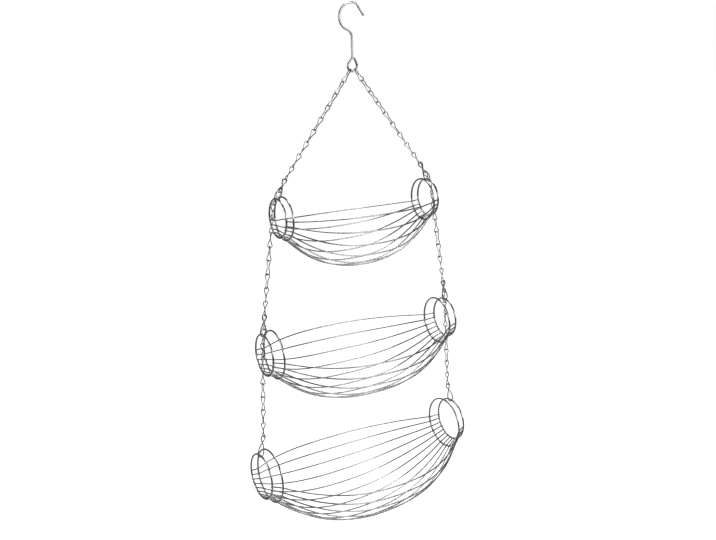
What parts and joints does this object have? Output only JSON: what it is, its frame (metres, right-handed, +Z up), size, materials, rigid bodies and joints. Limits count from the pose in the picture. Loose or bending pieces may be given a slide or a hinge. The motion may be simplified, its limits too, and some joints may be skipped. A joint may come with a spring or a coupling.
{
  "type": "hanging fruit basket",
  "caption": "Hanging fruit basket of chromed wire: bowed-wire tiers between ring collars, hung from side chains that meet at a ceiling hook.",
  "frame": {"origin": "where the inside of the hook's arch bears on its support", "axes": "+Z up, X along the baskets, -Y towards the front"},
  "size_m": [0.3758, 0.2142, 0.8138],
  "materials": {
    "hook_wire": "polished chrome plate on steel rod",
    "chain_wire": "bright chrome plate on steel wire links",
    "basket_wire": "polished chrome plate on welded steel wire"
  },
  "bodies": {
    "hook": {"hook": "hook_wire"},
    "eye_links": {"eye_link_left": "chain_wire", "eye_link_right": "chain_wire"},
    "upper_chains": {"upper_chain_left": "chain_wire", "upper_chain_right": "chain_wire", "top_connector_left": "chain_wire", "top_connector_right": "chain_wire"},
    "middle_chains": {"middle_chain_left": "chain_wire", "middle_chain_right": "chain_wire", "middle_connector_left": "chain_wire", "middle_connector_right": "chain_wire"},
    "lower_chains": {"lower_chain_left": "chain_wire", "lower_chain_right": "chain_wire", "bottom_connector_left": "chain_wire", "bottom_connector_right": "chain_wire"},
    "top_basket": {"top_outer_ring_left": "basket_wire", "top_inner_ring_left": "basket_wire", "top_outer_ring_right": "basket_wire", "top_inner_ring_right": "basket_wire", "top_wire_pair_1": "basket_wire", "top_wire_pair_2": "basket_wire", "top_wire_pair_3": "basket_wire", "top_wire_pair_4": "basket_wire", "top_wire_pair_5": "basket_wire", "top_wire_pair_6": "basket_wire"},
    "middle_basket": {"middle_outer_ring_left": "basket_wire", "middle_inner_ring_left": "basket_wire", "middle_outer_ring_right": "basket_wire", "middle_inner_ring_right": "basket_wire", "middle_wire_pair_1": "basket_wire", "middle_wire_pair_2": "basket_wire", "middle_wire_pair_3": "basket_wire", "middle_wire_pair_4": "basket_wire", "middle_wire_pair_5": "basket_wire", "middle_wire_pair_6": "basket_wire", "middle_keel_wire": "basket_wire"},
    "bottom_basket": {"bottom_outer_ring_left": "basket_wire", "bottom_inner_ring_left": "basket_wire", "bottom_outer_ring_right": "basket_wire", "bottom_inner_ring_right": "basket_wire", "bottom_wire_pair_1": "basket_wire", "bottom_wire_pair_2": "basket_wire", "bottom_wire_pair_3": "basket_wire", "bottom_wire_pair_4": "basket_wire", "bottom_wire_pair_5": "basket_wire", "bottom_wire_pair_6": "basket_wire", "bottom_wire_pair_7": "basket_wire", "bottom_keel_wire": "basket_wire"}
  },
  "joints": [
    {"name": "side_sway", "type": "hinge", "parent": "hook", "child": "eye_links", "pos_m": [0, 0, -0.09025], "axis": [0, 1, 0], "range_deg": [-20, 20]},
    {"name": "fore_aft_swing", "type": "hinge", "parent": "eye_links", "child": "upper_chains", "pos_m": [0, 0, -0.1129], "axis": [1, 0, 0], "range_deg": [-25, 25]},
    {"name": "top_basket_tilt", "type": "hinge", "parent": "upper_chains", "child": "top_basket", "pos_m": [0, 0, -0.30401], "axis": [1, 0, 0], "range_deg": [-60, 60]},
    {"name": "middle_swing", "type": "hinge", "parent": "upper_chains", "child": "middle_chains", "pos_m": [0, 0, -0.27976], "axis": [0.9984, 0.0565, 0], "range_deg": [-20, 20]},
    {"name": "middle_basket_tilt", "type": "hinge", "parent": "middle_chains", "child": "middle_basket", "pos_m": [0, 0, -0.51093], "axis": [1, 0, 0], "range_deg": [-60, 60]},
    {"name": "lower_swing", "type": "hinge", "parent": "middle_chains", "child": "lower_chains", "pos_m": [0, 0, -0.48773], "axis": [0.9986, 0.0528, 0], "range_deg": [-20, 20]},
    {"name": "bottom_basket_tilt", "type": "hinge", "parent": "lower_chains", "child": "bottom_basket", "pos_m": [0, 0, -0.70152], "axis": [0.9986, 0.0523, 0], "range_deg": [-60, 60]}
  ]
}
